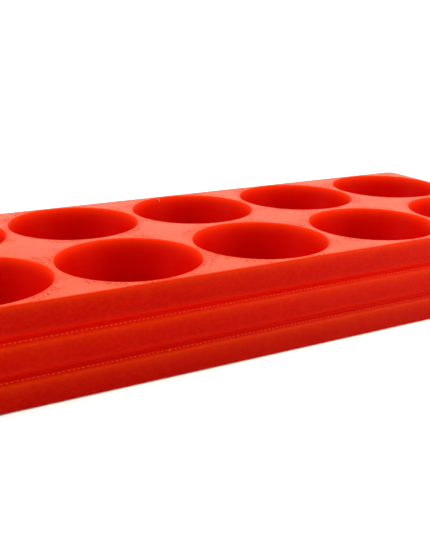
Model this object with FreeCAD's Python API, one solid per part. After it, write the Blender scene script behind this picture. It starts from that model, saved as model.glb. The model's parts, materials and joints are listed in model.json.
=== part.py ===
"""Paint rack organizer: a printed block of ten round jar pockets, seated on a pegged base plate.

Units are millimetres. +Z is up. The origin is at the centre of the underside.
X runs along the rack, and the front faces -Y.
"""
import FreeCAD, Part
import os

V = FreeCAD.Vector

# pockets
POCKET_R = 20.5
COLUMNS, ROWS = 5, 2
PITCH_X, PITCH_Y = 42.8, 43.5  # 1.8 mm webs along the rack, 2.5 mm between the rows
WALL = 1.8  # thinnest wall outside a pocket
RIM_CHAMFER = 0.3

# heights
BASE_H = 8.6  # the joint line, and the pockets' floor
RACK_H = 27.0
GROOVE_Z = RACK_H - BASE_H  # middle of the decorative groove
SEAM = 0.05  # gap left between the two printed faces
CORNER_R = 4.0
TOP_ROUND = 0.8
FOOT_CHAMFER = 0.4

# V-groove at the joint and at GROOVE_Z, all the way round
GROOVE_DEPTH = 1.05
GROOVE_HALF = 1.75

# registration pegs, in the solid areas between four pockets
PEG_R, PEG_H, PEG_CHAMFER = 4.0, 4.0, 0.6
PEG_CLEARANCE = 0.10  # radial, running
SOCKET_DEPTH = 4.6

LENGTH = (COLUMNS - 1) * PITCH_X + 2 * (POCKET_R + WALL)
DEPTH = (ROWS - 1) * PITCH_Y + 2 * (POCKET_R + WALL)

COLUMN_X = [(i - (COLUMNS - 1) / 2) * PITCH_X for i in range(COLUMNS)]
ROW_Y = [(j - (ROWS - 1) / 2) * PITCH_Y for j in range(ROWS)]
POCKETS = [(x, y) for y in ROW_Y for x in COLUMN_X]
PEGS = [((a + b) / 2, 0.0) for a, b in zip(COLUMN_X, COLUMN_X[1:])]


def outline(z, inset=0.0):
    """The rack's rounded rectangle at height z, drawn in by inset."""
    x, y, r = LENGTH / 2 - inset, DEPTH / 2 - inset, CORNER_R - inset
    k = r * (1 - 0.5**0.5)
    edges = []
    for sx, sy in ((1, -1), (1, 1), (-1, 1), (-1, -1)):
        on_x, on_y = V(sx * x, sy * (y - r), z), V(sx * (x - r), sy * y, z)
        first, last = (on_y, on_x) if sx * sy < 0 else (on_x, on_y)
        if edges:
            edges.append(Part.makeLine(edges[-1].lastVertex(True).Point, first))
        edges.append(Part.Arc(first, V(sx * (x - k), sy * (y - k), z), last).toShape())
    edges.append(Part.makeLine(edges[-1].lastVertex(True).Point, edges[0].firstVertex(True).Point))
    return Part.Wire(edges)


def slab(levels):
    """A solid through (z, inset) outlines, straight-sided between each pair."""
    spans = []
    for (z0, in0), (z1, in1) in zip(levels, levels[1:]):
        if in0 == in1:
            spans.append(Part.Face(outline(z0, in0)).extrude(V(0, 0, z1 - z0)))
        else:
            spans.append(Part.makeLoft([outline(z0, in0), outline(z1, in1)], True, True))
    return spans[0].multiFuse(spans[1:]).removeSplitter()


def drill(shape, centres, r, z0, z1):
    """Round holes from z0 to z1."""
    return shape.cut([Part.makeCylinder(r, z1 - z0, V(x, y, z0)) for x, y in centres])


def countersink(shape, centres, r, z, size):
    """A small chamfer where holes of radius r come out of the top face at z."""
    cones = [Part.makeCone(r, r + 2 * size, 2 * size, V(x, y, z - size)) for x, y in centres]
    return shape.cut(cones)


def add_pegs(shape, z):
    """Pegs with taper tips, standing on the face at z."""
    pegs = []
    for x, y in PEGS:
        pegs.append(Part.makeCylinder(PEG_R, PEG_H - PEG_CHAMFER + 1.0, V(x, y, z - 1.0)))
        tip = V(x, y, z + PEG_H - PEG_CHAMFER)
        pegs.append(Part.makeCone(PEG_R, PEG_R - PEG_CHAMFER, PEG_CHAMFER, tip))
    return shape.multiFuse(pegs)


def sockets(shape, z):
    """Blind holes in the underside at z for the base plate's pegs."""
    return drill(shape, PEGS, PEG_R + PEG_CLEARANCE, z - 1.0, z + SOCKET_DEPTH)


def groove(z):
    """Outline levels of a whole V-groove centred at z."""
    return [(z - GROOVE_HALF, 0), (z, GROOVE_DEPTH), (z + GROOVE_HALF, 0)]


# base plate: its top face is every pocket's floor
top_z = BASE_H - SEAM / 2
base = slab([(0, FOOT_CHAMFER), (FOOT_CHAMFER, 0), (top_z - GROOVE_HALF, 0), (top_z, GROOVE_DEPTH)])
base = add_pegs(base, top_z)

# pocket block: bored right through, with sockets below and a softened upper edge
low_z = BASE_H + SEAM / 2
block = slab([(low_z, GROOVE_DEPTH), (low_z + GROOVE_HALF, 0)] + groove(GROOVE_Z) + [(RACK_H, 0)])
upper_edges = [e for e in block.Edges if min(v.Z for v in e.Vertexes) > RACK_H - 0.01]
block = block.makeFillet(TOP_ROUND, upper_edges)
block = drill(block, POCKETS, POCKET_R, low_z - 1.0, RACK_H + 1.0)
block = countersink(block, POCKETS, POCKET_R, RACK_H, RIM_CHAMFER)
block = sockets(block, low_z)

os.makedirs("parts", exist_ok=True)
for name, shape in (("base_plate", base), ("pocket_block", block)):
    solid = shape.removeSplitter().Solids
    assert len(solid) == 1 and solid[0].isValid(), name
    solid[0].exportStep(f"parts/{name}.step")
    box = solid[0].BoundBox
    print(name, round(solid[0].Volume, 1), [round(v, 3) for v in (box.XLength, box.YLength, box.ZMin, box.ZMax)])
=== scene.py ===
import json
import math
import random

import bmesh
import bpy
from mathutils import Matrix, Vector, geometry


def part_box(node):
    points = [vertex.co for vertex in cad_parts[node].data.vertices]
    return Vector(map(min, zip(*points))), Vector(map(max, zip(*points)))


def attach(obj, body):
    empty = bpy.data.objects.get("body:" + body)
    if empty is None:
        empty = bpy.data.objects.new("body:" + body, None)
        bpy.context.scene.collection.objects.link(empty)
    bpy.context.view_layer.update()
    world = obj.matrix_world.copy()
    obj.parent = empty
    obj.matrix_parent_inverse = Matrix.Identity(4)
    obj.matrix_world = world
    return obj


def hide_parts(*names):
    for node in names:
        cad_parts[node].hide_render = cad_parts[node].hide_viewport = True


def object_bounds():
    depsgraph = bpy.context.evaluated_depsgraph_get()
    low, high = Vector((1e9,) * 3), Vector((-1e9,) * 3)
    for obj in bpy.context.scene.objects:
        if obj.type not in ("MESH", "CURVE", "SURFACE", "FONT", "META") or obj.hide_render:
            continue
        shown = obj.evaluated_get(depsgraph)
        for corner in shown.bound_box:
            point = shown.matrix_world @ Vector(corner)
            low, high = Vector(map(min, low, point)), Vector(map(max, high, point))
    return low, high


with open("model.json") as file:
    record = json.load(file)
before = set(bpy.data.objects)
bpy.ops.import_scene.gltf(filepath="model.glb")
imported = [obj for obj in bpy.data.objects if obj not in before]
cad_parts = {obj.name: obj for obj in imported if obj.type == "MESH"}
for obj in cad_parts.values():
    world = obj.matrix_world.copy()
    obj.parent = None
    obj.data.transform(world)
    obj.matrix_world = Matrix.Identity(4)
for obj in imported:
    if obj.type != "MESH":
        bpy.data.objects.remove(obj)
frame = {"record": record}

cad_low, cad_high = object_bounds()
MM = 0.001

# ---------------------------------------------------------------- sizes, in millimetres
CORNER_R = 4.0
TOP_ROUND = 0.8
FOOT = ((0.0, 0.4), (0.12, 0.22), (0.28, 0.06))  # the softened bottom edge, as (height, inset)
FOOT_H = 0.4
GROOVE_DEPTH = 1.05
RIM = 0.3
PEG_R, PEG_H, PEG_CHAMFER = 4.0, 4.0, 0.6
SOCKET_R, SOCKET_DEPTH = 4.1, 4.6
LAYER = 0.3  # printed layer height
BEAD = 0.035  # how far the line between two layers is drawn in
DOT_PITCH = 1.27  # where 45 degree lines 0.9 mm apart meet the wall

MOUNTS = [m for m in frame["record"]["mounts"] if m["kind"] == "bore"]
POCKETS = [(m["pos_m"][0] / MM, m["pos_m"][1] / MM) for m in MOUNTS]
POCKET_R = MOUNTS[0]["dims"]["r_mm"]
COLUMN_X = sorted({round(x, 3) for x, _ in POCKETS})
ROW_Y = sorted({round(y, 3) for _, y in POCKETS})
PITCH_X, PITCH_Y = COLUMN_X[1] - COLUMN_X[0], ROW_Y[1] - ROW_Y[0]
PEGS = [((a + b) / 2, 0.0) for a, b in zip(COLUMN_X, COLUMN_X[1:])]
HALF_X, HALF_Y = cad_high.x / MM, cad_high.y / MM
TOP_Z = cad_high.z / MM
JOINT_Z = 8.6
GROOVE_Z = TOP_Z - JOINT_Z  # as far below the top as the joint is above the floor

# Rows of the V-groove, as (height above its middle, inset). Below the middle the slope faces up, and its
# layers show: an edge, a fine line, a beaded layer and a second line. Above it the overhang is smooth.
LEDGES = (
    (-2.05, 0.0), (-1.86, 0.03), (-1.68, 0.10), (-1.50, 0.19), (-1.30, 0.29), (-1.16, 0.36),
    (-1.10, 0.46), (-1.05, 0.48), (-0.99, 0.42), (-0.90, 0.36), (-0.75, 0.35), (-0.60, 0.40),
    (-0.50, 0.50), (-0.42, 0.74), (-0.34, 0.92), (-0.22, 1.02),
)
OVERHANG = ((0.12, 0.99), (0.50, 0.76), (0.90, 0.51), (1.30, 0.27), (1.58, 0.12), (1.80, 0.03), (2.00, 0.0))
GROOVE_LOW, GROOVE_HIGH = LEDGES[0][0], OVERHANG[-1][0]
DOT_ROW = (-0.75, 0.36)  # the middle of the beaded layer

# Small flaws of the print
LAYER_END_X = -41.6  # the end of a layer, in the lower groove
# Dabs pressed out of the first layer, as (x, half width)
PRESSED_OUT = ((-75.4, 0.9), (-71.2, 1.3), (-67.7, 0.7), (-98.6, 0.8), (12.4, 0.7))
HAIR_R = 0.2
# A hair over a pocket's far rim, as (x, distance past the far wall, height above the top)
HAIR = ((-4.3, -0.25, -0.2), (-3.7, -0.5, -0.25), (-3.2, -0.9, -0.6), (-3.0, -0.5, -1.3), (-3.1, 0.05, -1.8))
SKIN_GAP = (-45.25, 6.5)  # across and along the 45 degree lines: where two of them don't quite meet

# How the flat top is printed
LINE_PITCH = 0.45  # between neighbouring lines
EDGE_LINES = 0.9  # width of the two lines that follow every edge
DIAGONAL = 0.7071  # cosine of 45 degrees

SMALL_STEPS = 32  # points round a peg or a socket
SHARP = math.radians(38)  # edges that turn by more than this are shaded sharp
ON_FRONT = ((1, 0, 0), (0, -1, 0))  # a dab's directions on the front wall: along it and out of it


# ---------------------------------------------------------------- mesh helpers
def outline(inset, steps=9):
    """Points round the rack, anticlockwise, drawn in by inset."""
    r = CORNER_R - inset
    cx, cy = HALF_X - CORNER_R, HALF_Y - CORNER_R
    points = []
    for sx, sy, start in ((1, -1, -90), (1, 1, 0), (-1, 1, 90), (-1, -1, 180)):
        for i in range(steps + 1):
            a = math.radians(start + 90 * i / steps)
            points.append((sx * cx + r * math.cos(a), sy * cy + r * math.sin(a)))
    return points


def circle(x, y, r, steps=64):
    """Points round a hole, anticlockwise."""
    turn = [2 * math.pi * i / steps for i in range(steps)]
    return [(x + r * math.cos(a), y + r * math.sin(a)) for a in turn]


def layers(z0, z1):
    """Rows (z, inset) up a straight printed wall: each layer is a bead, with a fine line between beads."""
    count = max(1, round((z1 - z0) / LAYER))
    h = (z1 - z0) / count
    rows = []
    for k in range(count):
        low = z0 + k * h
        rows += [(low, BEAD), (low + 0.25 * h, 0.0), (low + 0.75 * h, 0.0)]
    return rows + [(z1, BEAD)]


class Solid:
    """A closed mesh made of stacked rings and flat caps with holes."""

    def __init__(self):
        self.bm = bmesh.new()
        self.flat = []

    def ring(self, points, z):
        return [self.bm.verts.new((x * MM, y * MM, z * MM)) for x, y in points]

    def wall(self, rings, outward=True):
        for a, b in zip(rings, rings[1:]):
            for i in range(len(a)):
                j = (i + 1) % len(a)
                quad = (a[i], a[j], b[j], b[i]) if outward else (a[j], a[i], b[i], b[j])
                self.bm.faces.new(quad)

    def cap(self, loops, up=True):
        """A flat face: the first loop is its edge, and the others are holes in it."""
        flat = [[v.co.copy() for v in loop] for loop in loops]
        verts = [v for loop in loops for v in loop]
        for a, b, c in geometry.tessellate_polygon(flat):
            n = (verts[b].co - verts[a].co).cross(verts[c].co - verts[a].co)
            if n.length < 1e-14:
                continue
            tri = (verts[a], verts[b], verts[c]) if (n.z > 0) == up else (verts[a], verts[c], verts[b])
            self.flat.append(self.bm.faces.new(tri))

    def blob(self, x, y, z, along, out, wide, deep, high, steps=8):
        """A small closed dab of plastic, half sunk into the surface."""
        side, face = Vector(along), Vector(out)
        centre = Vector((x, y, z))
        levels = []
        for j in range(1, 4):
            t = math.pi * j / 4
            ring = []
            for i in range(steps):
                a = 2 * math.pi * i / steps
                p = centre + side * (wide * math.sin(t) * math.cos(a))
                p += face * (deep * math.sin(t) * math.sin(a))
                p.z -= high * math.cos(t)
                ring.append(self.bm.verts.new(p * MM))
            levels.append(ring)
        bottom = self.bm.verts.new((centre - Vector((0, 0, high))) * MM)
        top = self.bm.verts.new((centre + Vector((0, 0, high))) * MM)
        self.wall(levels)
        for i in range(steps):
            j = (i + 1) % steps
            self.bm.faces.new((bottom, levels[0][j], levels[0][i]))
            self.bm.faces.new((top, levels[-1][i], levels[-1][j]))

    def strand(self, points, r, steps=6):
        """A closed hair of filament through points."""
        path = [Vector(p) for p in points]
        rings = []
        for i, p in enumerate(path):
            way = (path[min(i + 1, len(path) - 1)] - path[max(i - 1, 0)]).normalized()
            side = way.cross(Vector((0, 0, 1)) if abs(way.z) < 0.9 else Vector((1, 0, 0))).normalized()
            other = way.cross(side)
            turn = [2 * math.pi * k / steps for k in range(steps)]
            ring = [p + (side * math.cos(a) + other * math.sin(a)) * r for a in turn]
            rings.append([self.bm.verts.new(q * MM) for q in ring])
        self.wall(rings)
        self.bm.faces.new(rings[0][::-1])
        self.bm.faces.new(rings[-1])

    def done(self, name, body, node, material):
        bm = self.bm
        bmesh.ops.recalc_face_normals(bm, faces=bm.faces)
        for f in bm.faces:
            f.smooth = True
        for f in self.flat:
            f.smooth = False
        for e in bm.edges:
            if len(e.link_faces) == 2:
                e.smooth = e.calc_face_angle(0) < SHARP
        mesh = bpy.data.meshes.new(name)
        bm.to_mesh(mesh)
        bm.free()
        mesh.materials.append(material)
        piece = bpy.data.objects.new(name, mesh)
        bpy.context.scene.collection.objects.link(piece)
        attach(piece, body)
        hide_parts(node)
        return piece


# ---------------------------------------------------------------- camera
YAW, PITCH, ROLL = math.radians(29.75), math.radians(17.66), math.radians(0.81)
CAMERA_AT = Vector((-0.12945, -0.22099, 0.09308))
forward = Vector((math.sin(YAW) * math.cos(PITCH), math.cos(YAW) * math.cos(PITCH), -math.sin(PITCH)))
right = Vector((math.cos(YAW), -math.sin(YAW), 0))
up = right.cross(forward)
right, up = (
    right * math.cos(ROLL) + up * math.sin(ROLL),
    up * math.cos(ROLL) - right * math.sin(ROLL),
)
cam_data = bpy.data.cameras.new("camera")
cam_data.sensor_width = 36.0
cam_data.lens = 55.13
camera = bpy.data.objects.new("camera", cam_data)
camera.matrix_world = Matrix((
    (right.x, up.x, -forward.x, CAMERA_AT.x),
    (right.y, up.y, -forward.y, CAMERA_AT.y),
    (right.z, up.z, -forward.z, CAMERA_AT.z),
    (0, 0, 0, 1),
))
bpy.context.scene.collection.objects.link(camera)
bpy.context.scene.camera = camera


# ---------------------------------------------------------------- material
class Nodes:
    """Short calls for a node tree. A value is a number or a socket, and a colour is a triple or a socket."""

    def __init__(self, tree):
        self.tree = tree

    def add(self, kind, **values):
        node = self.tree.nodes.new(kind)
        for key, value in values.items():
            setattr(node, key, value)
        return node

    def link(self, a, b):
        self.tree.links.new(a, b)

    def put(self, socket, value):
        if isinstance(value, bpy.types.NodeSocket):
            self.link(value, socket)
        else:
            socket.default_value = value

    def math(self, operation, a, b=0.0, clamp=False):
        node = self.add("ShaderNodeMath", operation=operation, use_clamp=clamp)
        for socket, value in zip(node.inputs, (a, b)):
            self.put(socket, value)
        return node.outputs[0]

    def plus(self, a, b, clamp=False):
        return self.math("ADD", a, b, clamp)

    def minus(self, a, b):
        return self.math("SUBTRACT", a, b)

    def times(self, first, *others):
        for other in others:
            first = self.math("MULTIPLY", first, other)
        return first

    def least(self, first, *others):
        for other in others:
            first = self.math("MINIMUM", first, other)
        return first

    def most(self, a, b):
        return self.math("MAXIMUM", a, b)

    def size(self, a):
        return self.math("ABSOLUTE", a)

    def above(self, a, b):
        return self.math("GREATER_THAN", a, b)

    def decay(self, a, rate):
        return self.math("EXPONENT", self.times(a, -rate))

    def ramp(self, value, low, high, out_low=0.0, out_high=1.0):
        """A smooth step from out_low to out_high, as value goes from low to high."""
        node = self.add("ShaderNodeMapRange", interpolation_type="SMOOTHSTEP")
        settings = {"Value": value, "From Min": low, "From Max": high, "To Min": out_low, "To Max": out_high}
        for key, v in settings.items():
            self.put(node.inputs[key], v)
        return node.outputs[0]

    def noise(self, vector, scale, detail=2.0, roughness=0.5):
        node = self.add("ShaderNodeTexNoise")
        self.put(node.inputs["Vector"], vector)
        for key, v in (("Scale", scale), ("Detail", detail), ("Roughness", roughness)):
            node.inputs[key].default_value = v
        return node.outputs["Fac"]

    def scaled(self, vector, factors):
        node = self.add("ShaderNodeVectorMath", operation="MULTIPLY")
        self.put(node.inputs[0], vector)
        node.inputs[1].default_value = factors
        return node.outputs[0]

    def pick(self, factor, a, b):
        node = self.add("ShaderNodeMix", data_type="FLOAT")
        for i, value in ((0, factor), (2, a), (3, b)):
            self.put(node.inputs[i], value)
        return node.outputs[0]

    def mix(self, factor, a, b):
        node = self.add("ShaderNodeMix", data_type="RGBA")
        self.put(node.inputs[0], factor)
        for i, colour in ((6, a), (7, b)):
            self.put(node.inputs[i], colour if isinstance(colour, bpy.types.NodeSocket) else (*colour, 1))
        return node.outputs[2]


PAINTED_GLOW_EDGES = (TOP_Z - 0.6, GROOVE_Z - 1.9, JOINT_Z - 1.9)  # heights of the top's and the grooves' edges, near which a glow is painted


class PrintedPlastic(Nodes):
    """Glossy translucent red filament, worked out from the place on the object, in millimetres.

    tint scales the red of the shaded faces. top is the height of the piece's flat printed top, and bored says
    that the top has the pockets' rims in it.
    """

    def __init__(self, name, tint, top, bored):
        self.material = bpy.data.materials.new(name)
        self.material.use_nodes = True
        super().__init__(self.material.node_tree)
        self.tint = tint
        self.bored = bored
        self.shader = self.tree.nodes["Principled BSDF"]
        self.measure()
        self.mark_faces(top)
        self.lay_lines()
        # painted light: the pockets take a lighter copy of the red than the outer walls
        colour = self.mix(self.in_pocket, self.wall_colour(), self.pocket_colour())
        # painted highlight: the hair is painted pale orange, standing in for the light that it catches
        colour = self.mix(self.on_hair, colour, (0.95, 0.22, 0.10))
        colour = self.mix(self.on_bottom, colour, self.bottom_colour())
        flaws = self.flaws()
        # painted light: the top takes a lighter, more orange copy of the red; its lines, pits and gap are
        # print marks
        colour = self.mix(self.on_top, colour, self.top_colour(flaws))
        self.link(colour, self.shader.inputs["Base Color"])
        self.set_relief()
        self.set_gloss(flaws)

    def shaded(self, colour):
        return (colour[0] * self.tint, *colour[1:])

    def measure(self):
        """Distances from the nearest pocket's wall and from the outer wall, and the broad noises."""
        place = self.add("ShaderNodeTexCoord")
        self.at = self.scaled(place.outputs["Object"], (1000, 1000, 1000))
        split = self.add("ShaderNodeSeparateXYZ")
        self.link(self.at, split.inputs[0])
        x, y, self.z = split.outputs
        normal = self.add("ShaderNodeSeparateXYZ")
        self.link(place.outputs["Normal"], normal.inputs[0])
        self.up = normal.outputs[2]
        last = (len(COLUMN_X) - 1) / 2
        column = self.most(self.least(self.math("ROUND", self.math("DIVIDE", x, PITCH_X)), last), -last)
        dx = self.minus(x, self.times(column, PITCH_X))
        dy = self.minus(self.size(y), PITCH_Y / 2)
        reach = self.math("SQRT", self.plus(self.times(dx, dx), self.times(dy, dy)))
        self.from_rim = self.minus(reach, POCKET_R)
        self.from_edge = self.least(self.minus(HALF_Y, self.size(y)), self.minus(HALF_X, self.size(x)))
        self.across = self.times(self.plus(x, y), DIAGONAL)
        self.along = self.times(self.minus(x, y), DIAGONAL)
        self.wander = self.noise(self.at, 0.12, 3.0)
        self.fine = self.noise(self.scaled(self.at, (0.5, 0.5, 6.0)), 1.0, 3.0, 0.6)

    def mark_faces(self, top):
        """Masks, from 0 to 1. The rounded rim counts as top."""
        z = self.z
        steep = self.ramp(self.size(self.up), 0.9, 0.6)
        self.in_pocket = self.times(self.ramp(self.from_rim, 0.2, 0.05), steep, self.above(z, JOINT_Z))
        # nothing but the hair stands inside a pocket so near the top
        self.on_hair = self.times(self.ramp(self.from_rim, -0.10, -0.25), self.above(z, TOP_Z - 3.0))
        facing = self.plus(self.up, self.ramp(self.from_rim, 0.6, 0.35, 0.0, 0.35))
        self.on_top = self.times(self.ramp(facing, 0.75, 0.97), self.ramp(z, top - 0.4, top - 0.15))
        self.on_bottom = self.times(self.ramp(self.up, -0.9, -0.99), self.ramp(z, 0.2, 0.05))

    def lay_lines(self):
        """The lines of a flat printed face: two follow every edge, and the rest lie at 45 degrees."""
        to_edge = self.least(self.from_edge, self.size(self.from_rim)) if self.bored else self.from_edge
        rings = self.math("PINGPONG", to_edge, LINE_PITCH / 2)
        hatch = self.math("PINGPONG", self.across, LINE_PITCH / 2)
        self.lines = self.pick(self.above(to_edge, EDGE_LINES), rings, hatch)
        lay = self.add("ShaderNodeCombineXYZ")
        self.link(self.times(self.along, 0.05), lay.inputs[0])
        self.link(self.times(self.across, 0.35), lay.inputs[1])
        self.streak = self.noise(lay.outputs[0], 1.0)

    def wall_colour(self):
        """Light soaks through thin edges, so a glow is painted near them, which makes them brighter and more
        orange: painted light.
        """
        z = self.z
        edges = [self.size(self.minus(z, edge)) for edge in PAINTED_GLOW_EDGES]
        painted_edge_glow = self.decay(self.least(*edges), 0.75)
        speckle = self.noise(self.scaled(self.at, (0.8, 0.8, 1.2)), 1.0, 3.0, 0.6)
        cloud = self.times(self.ramp(self.wander, 0.4, 0.7), 0.06)
        mottle = self.plus(cloud, self.ramp(speckle, 0.3, 0.7, 0.0, 0.20))
        # painted light: the edge glow, added to the random mottle of the plastic
        glow = self.plus(self.times(painted_edge_glow, 0.7), mottle, clamp=True)
        # painted shade: the outer walls' red is a darker copy than the pockets' and the top's, lifted near
        # the edges by the painted glow
        wall = self.mix(glow, self.shaded((0.31, 0.0001, 0.0)), self.shaded((0.45, 0.017, 0.0002)))
        # painted light: the hollow of each groove is painted lighter than the wall around it, standing in for
        # the light that reaches it, the lower groove a little less than the upper
        lower, upper = self.shaded((0.42, 0.0014, 0.0002)), self.shaded((0.45, 0.0026, 0.0002))
        groove = self.mix(self.above(z, (JOINT_Z + GROOVE_Z) / 2), lower, upper)
        wall = self.mix(self.ramp(self.from_edge, 0.10, 0.55), wall, groove)
        rows = [self.size(self.minus(z, g + DOT_ROW[0])) for g in (GROOVE_Z, JOINT_Z)]
        # painted highlight: the dots of the groove rows are painted a brighter orange, standing in for the
        # light they catch
        painted_dot_highlight = self.times(self.ramp(self.least(*rows), 0.32, 0.22), self.ramp(self.from_edge, 0.33, 0.25))
        return self.mix(painted_dot_highlight, wall, (0.64, 0.028, 0.002))

    def pocket_colour(self):
        """A pocket's wall: faint layer bands on a lighter copy of the red than the outer walls', and a glow
        painted under the rim. Both are painted light.
        """
        upright = self.noise(self.scaled(self.at, (0.4, 0.4, 0.03)), 1.0, 3.0, 0.6)
        bands = self.noise(self.scaled(self.at, (0.02, 0.02, 2.2)), 1.0, 2.0, 0.6)
        marks = self.ramp(self.plus(bands, self.times(upright, 0.3)), 0.5, 0.85)
        # painted light: a lighter copy of the red than the outer walls', with faint printed layer bands
        pocket = self.mix(marks, self.shaded((0.50, 0.0008, 0.0002)), self.shaded((0.54, 0.0012, 0.0002)))
        # painted light: a glow that fades down from the rim
        painted_rim_glow = self.decay(self.minus(TOP_Z, self.z), 0.7)
        return self.mix(painted_rim_glow, pocket, (0.92, 0.040, 0.002))

    def bottom_colour(self):
        return self.mix(self.ramp(self.streak, 0.3, 0.7), (0.46, 0.003, 0.0004), (0.49, 0.005, 0.0006))

    def flaws(self):
        """Dark marks on the top: faint lines all over, and stronger lines and pits round the rims."""
        line = self.ramp(self.lines, 0.10, 0.0)
        faint = self.times(line, 0.05)
        if not self.bored:
            return faint
        near_rim = self.ramp(self.size(self.from_rim), 1.6, 0.8)
        pits = self.ramp(self.noise(self.at, 1.3), 0.52, 0.56)
        patches = self.ramp(self.noise(self.at, 0.11, 1.0), 0.46, 0.56)
        beside_rim = self.ramp(self.size(self.minus(self.from_rim, 1.9)), 1.8, 0.9)
        marks = self.times(self.most(self.times(line, near_rim), self.times(pits, patches, beside_rim)), 0.8)
        du = self.size(self.minus(self.across, SKIN_GAP[0]))
        dv = self.size(self.minus(self.along, SKIN_GAP[1]))
        gap = self.times(self.ramp(du, 1.3, 0.8), self.ramp(dv, 0.30, 0.12))
        return self.plus(faint, self.most(marks, gap), clamp=True)

    def top_colour(self, flaws):
        # painted light: a lighter, more orange copy of the red than the walls', streaked along the printed
        # lines
        face = self.mix(self.ramp(self.streak, 0.38, 0.62), (0.61, 0.038, 0.003), (0.64, 0.044, 0.005))
        return self.mix(flaws, face, (0.22, 0.003, 0.0004))

    def set_relief(self):
        """Bump for the lines of the flat faces, which are too fine to be in the mesh, and a fine grain."""
        skin = self.times(self.lines, self.plus(self.on_top, self.on_bottom))
        bump = self.add("ShaderNodeBump")
        bump.inputs["Strength"].default_value = 0.6
        bump.inputs["Distance"].default_value = 0.0008
        self.link(self.plus(self.times(skin, 0.35), self.times(self.fine, 0.04)), bump.inputs["Height"])
        self.link(bump.outputs[0], self.shader.inputs["Normal"])

    def set_gloss(self, flaws):
        rough = self.plus(self.times(self.wander, 0.12), self.times(self.fine, 0.08))
        rough = self.plus(rough, self.times(self.streak, self.on_top, 0.05))
        rough = self.plus(rough, self.times(flaws, self.on_top, 0.35))
        self.link(self.plus(rough, 0.20), self.shader.inputs["Roughness"])
        for key, value in {
            "IOR": 1.08,
            "Sheen Weight": 0.07,
            "Sheen Roughness": 0.35,
            "Sheen Tint": (1.0, 0.40, 0.10, 1),
            "Subsurface Weight": 0.4,
            "Subsurface Radius": (1.0, 0.2, 0.06),
            "Subsurface Scale": 0.0018,
        }.items():
            self.shader.inputs[key].default_value = value


# ---------------------------------------------------------------- pieces
def groove_rows(g, rows):
    return [(g + dz, inset) for dz, inset in rows]


def groove_dots(solid, g, seed):
    """The row of dabs that the infill leaves on the beaded layer of the groove at g."""
    rng = random.Random(seed)
    z, inset = g + DOT_ROW[0], DOT_ROW[1]
    for along, face, half, other in (
        ((1, 0, 0), (0, -1, 0), HALF_X, HALF_Y), ((0, 1, 0), (1, 0, 0), HALF_Y, HALF_X),
        ((-1, 0, 0), (0, 1, 0), HALF_X, HALF_Y), ((0, -1, 0), (-1, 0, 0), HALF_Y, HALF_X),
    ):
        for i in range(int(2 * (half - CORNER_R) / DOT_PITCH)):
            t = -half + CORNER_R + (i + 0.5) * DOT_PITCH + rng.uniform(-0.06, 0.06)
            p = Vector(along) * t + Vector(face) * (other - inset)
            solid.blob(
                p.x, p.y, z, along, face,
                wide=rng.uniform(0.27, 0.35), deep=rng.uniform(0.15, 0.21), high=rng.uniform(0.17, 0.22),
            )


def arc_rows(high, radius, steps=6):
    """Rows (z, inset) that turn a wall over into a flat top."""
    turn = [math.radians(90 * i / steps) for i in range(steps + 1)]
    return [(high - radius * (1 - math.sin(a)), radius * (1 - math.cos(a))) for a in turn]


def holes(solid, centres, r, rows, steps=64):
    """Hole walls up through rows, whose insets widen the holes. Returns their lower and upper loops."""
    lower, upper = [], []
    for x, y in centres:
        rings = [solid.ring(circle(x, y, r + inset, steps), z) for z, inset in rows]
        solid.wall(rings, outward=False)
        lower.append(rings[0])
        upper.append(rings[-1])
    return lower, upper


def base_plate(top, material):
    s = Solid()
    rows = list(FOOT) + layers(FOOT_H, top + GROOVE_LOW)
    rows += groove_rows(top, LEDGES[1:]) + [(top, GROOVE_DEPTH)]
    rings = [s.ring(outline(inset), z) for z, inset in rows]
    s.wall(rings)
    pegs = []
    stem = [(z, PEG_R - inset) for z, inset in layers(top, top + PEG_H - PEG_CHAMFER)]
    stem.append((top + PEG_H, PEG_R - PEG_CHAMFER))
    for x, y in PEGS:
        peg = [s.ring(circle(x, y, r, SMALL_STEPS), z) for z, r in stem]
        s.wall(peg)
        s.cap([peg[-1]], up=True)
        pegs.append(peg[0])
    s.cap([rings[0]], up=False)
    s.cap([rings[-1]] + pegs, up=True)
    groove_dots(s, top, 11)
    s.blob(LAYER_END_X, -HALF_Y + 0.28, top + DOT_ROW[0] + 0.15, *ON_FRONT, wide=0.28, deep=0.27, high=0.85)
    for x, wide in PRESSED_OUT:
        s.blob(x, -HALF_Y + 0.42, 0.16, *ON_FRONT, wide, deep=0.30, high=0.15)
    return s.done("base_plate_print", "base", "base_plate", material)


def pocket_block(low, top, material):
    s = Solid()
    rows = [(low, GROOVE_DEPTH)] + groove_rows(low, OVERHANG[:-1])
    rows += layers(low + GROOVE_HIGH, GROOVE_Z + GROOVE_LOW)
    rows += groove_rows(GROOVE_Z, LEDGES[1:] + OVERHANG[:-1])
    rows += layers(GROOVE_Z + GROOVE_HIGH, top - TOP_ROUND) + arc_rows(top, TOP_ROUND)[1:]
    rings = [s.ring(outline(inset), z) for z, inset in rows]
    s.wall(rings)
    bore = layers(low, top - RIM) + arc_rows(top, RIM)[1:]
    lower, upper = holes(s, POCKETS, POCKET_R, bore)
    socket_low, socket_high = holes(s, PEGS, SOCKET_R, layers(low, low + SOCKET_DEPTH), SMALL_STEPS)
    for loop in socket_high:
        s.cap([loop], up=False)
    s.cap([rings[0]] + lower + socket_low, up=False)
    s.cap([rings[-1]] + upper, up=True)
    groove_dots(s, GROOVE_Z, 12)
    far = ROW_Y[1] + POCKET_R
    s.strand([(x, far + past, top + rise) for x, past, rise in HAIR], HAIR_R)
    return s.done("pocket_block_print", "block", "pocket_block", material)


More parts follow.
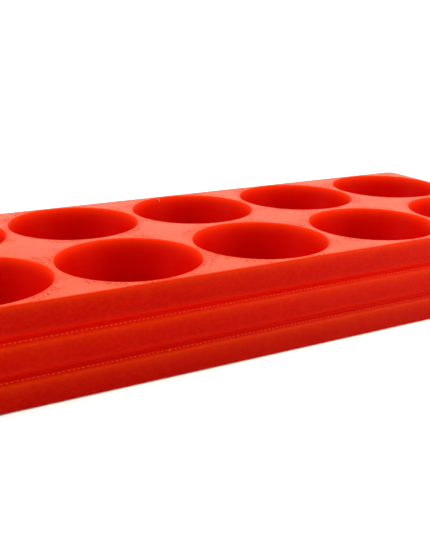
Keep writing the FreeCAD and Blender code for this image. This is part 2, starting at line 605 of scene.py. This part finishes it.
base_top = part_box("base_plate")[1].z / MM - PEG_H
block_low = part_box("pocket_block")[0].z / MM
base_plate(base_top, PrintedPlastic("printed_red_base", 0.91, base_top, bored=False).material)
pocket_block(block_low, TOP_Z, PrintedPlastic("printed_red_block", 1.0, TOP_Z, bored=True).material)


# ---------------------------------------------------------------- floor and light
FLOOR_R = 1.1  # metres; past it the studio is white
FLOOR_GAP = 0.0002


def floor():
    mesh = bpy.data.meshes.new("floor")
    edge = [(x, y, 0) for x, y in circle(0, 0, FLOOR_R)]
    mesh.from_pydata(edge, [], [range(len(edge))])
    piece = bpy.data.objects.new("floor", mesh)
    bpy.context.scene.collection.objects.link(piece)
    piece.location.z = -FLOOR_GAP
    material = bpy.data.materials.new("pale_floor")
    material.use_nodes = True
    shader = material.node_tree.nodes["Principled BSDF"]
    shader.inputs["Base Color"].default_value = (0.97, 0.97, 0.97, 1)
    shader.inputs["Roughness"].default_value = 0.8
    shader.inputs["Specular IOR Level"].default_value = 0.1
    mesh.materials.append(material)


def area_light(name, location, target, size, power, colour=(1, 1, 1)):
    data = bpy.data.lights.new(name, "AREA")
    data.shape = "RECTANGLE"
    data.size, data.size_y = size
    data.energy = power
    data.color = colour
    light = bpy.data.objects.new(name, data)
    light.location = location
    light.rotation_mode = "QUATERNION"
    light.rotation_quaternion = (Vector(target) - Vector(location)).to_track_quat("-Z", "Y")
    bpy.context.scene.collection.objects.link(light)


def studio(front, rest, glare, axis=(0.2, 0.98, 0)):
    """A plain studio, white at and below the horizon, and brightest low down behind the rack."""
    world = bpy.data.worlds.new("studio")
    bpy.context.scene.world = world
    world.use_nodes = True
    n = Nodes(world.node_tree)
    place = n.add("ShaderNodeTexCoord")
    side = n.add("ShaderNodeVectorMath", operation="DOT_PRODUCT")
    n.link(place.outputs["Generated"], side.inputs[0])
    side.inputs[1].default_value = axis
    split = n.add("ShaderNodeSeparateXYZ")
    n.link(place.outputs["Generated"], split.inputs[0])
    z = split.outputs[2]
    high = n.ramp(z, 0.45, 0.85)
    low = n.times(n.ramp(z, 0.36, 0.12), n.ramp(side.outputs["Value"], 0.3, 0.8))
    level = n.ramp(n.plus(side.outputs["Value"], high), -0.75, -0.05, front, rest)
    level = n.most(level, n.ramp(z, 0.22, 0.12))  # white all round at the horizon
    background = world.node_tree.nodes["Background"]
    background.inputs[0].default_value = (1, 1, 1, 1)
    n.link(n.plus(level, n.times(low, glare)), background.inputs[1])


floor()
bpy.context.scene.view_settings.view_transform = "Standard"
studio(front=0.22, rest=0.96, glare=2.4)
area_light("key", (0.16, -0.30, 0.88), (0.01, -0.02, 0), (0.8, 0.6), 3.9)
area_light("side", (0.30, -0.32, 0.18), (0.08, 0, 0), (0.30, 0.30), 1.7, (1, 0.88, 0.64))
area_light("left", (-0.60, 0.12, 0.40), (0, 0, 0), (0.35, 0.35), 3.9)
